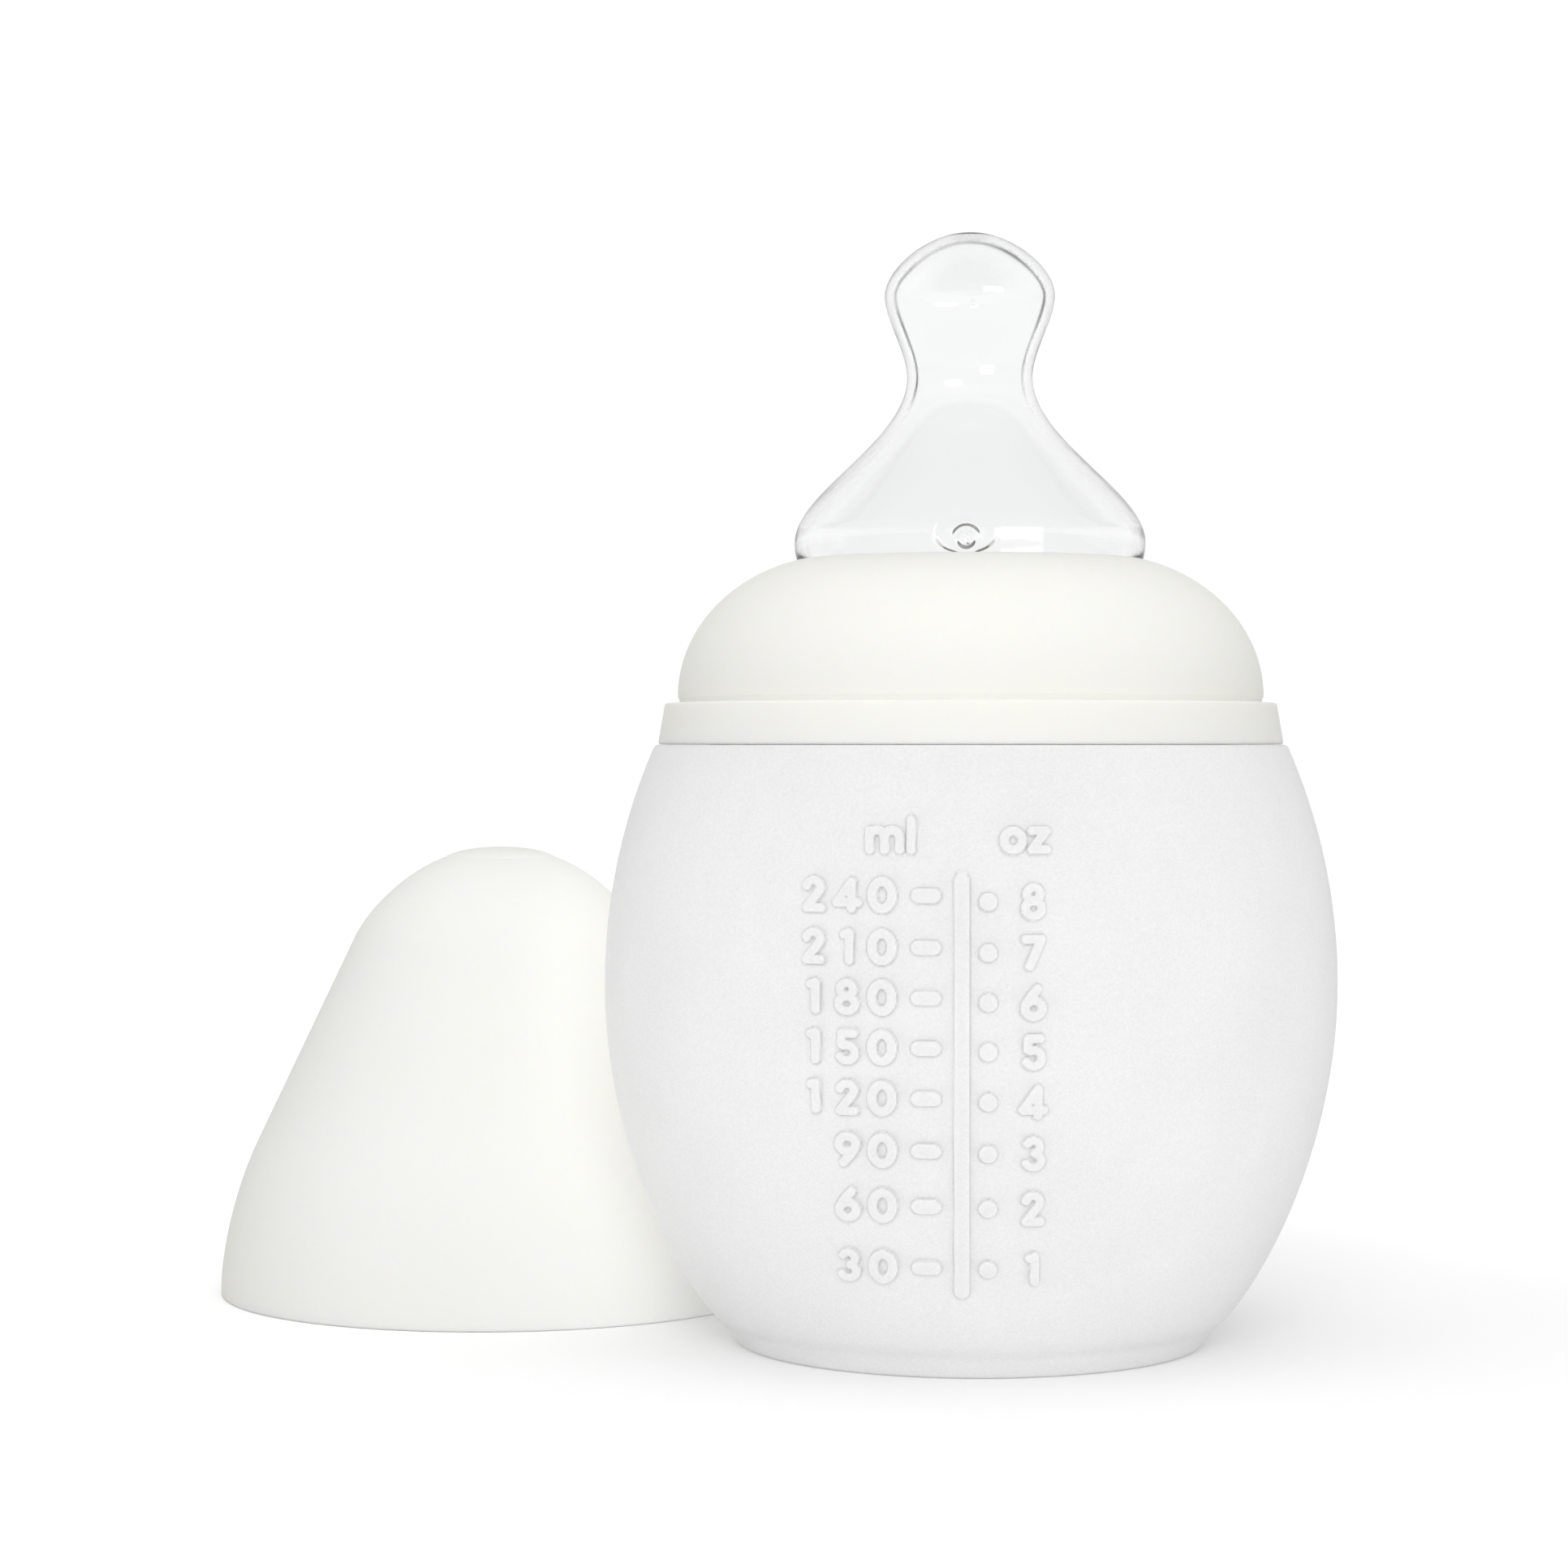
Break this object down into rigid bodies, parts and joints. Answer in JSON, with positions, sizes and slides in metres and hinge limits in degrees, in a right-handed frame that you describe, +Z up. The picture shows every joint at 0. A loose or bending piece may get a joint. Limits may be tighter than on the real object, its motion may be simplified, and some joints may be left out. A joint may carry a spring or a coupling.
{
  "type": "baby bottle",
  "caption": "Wide round silicone baby bottle with a screw collar, a clear silicone teat and a bell-shaped press-on cap standing beside it.",
  "frame": {"origin": "centre of the bottle body's flat base, on the body's axis", "axes": "+Z up along the body's axis, -Y the side with the graduations, +X to the right seen from that side, so the cap stands towards -X and +Y"},
  "size_m": [0.1424, 0.119, 0.1336],
  "materials": {
    "body_silicone": "frosted translucent white silicone with a fine matte grain",
    "collar_plastic": "satin ivory polypropylene",
    "teat_silicone": "clear glossy silicone",
    "cap_plastic": "satin ivory polypropylene"
  },
  "bodies": {
    "bottle": {"bottle_body": "body_silicone"},
    "teat": {"teat": "teat_silicone"},
    "collar": {"collar": "collar_plastic"},
    "cap": {"cap": "cap_plastic"}
  },
  "joints": [
    {"name": "teat_lift", "type": "slide", "parent": "bottle", "child": "teat", "axis": [0, 0, 1], "range_m": [0, 0.00502]},
    {"name": "collar_turn", "type": "hinge", "parent": "teat", "child": "collar", "pos_m": [0, 0, 0.08], "axis": [0, 0, 1], "range_deg": [0, 450]},
    {"name": "cap_lift", "type": "slide", "parent": "bottle", "child": "cap", "axis": [-0.3733, 0.2298, 0.8988], "range_m": [0, 0.16]}
  ],
  "couplings": [
    {"joint": "teat_lift", "follows": "collar_turn", "m_per_rad": 0.00063662}
  ]
}
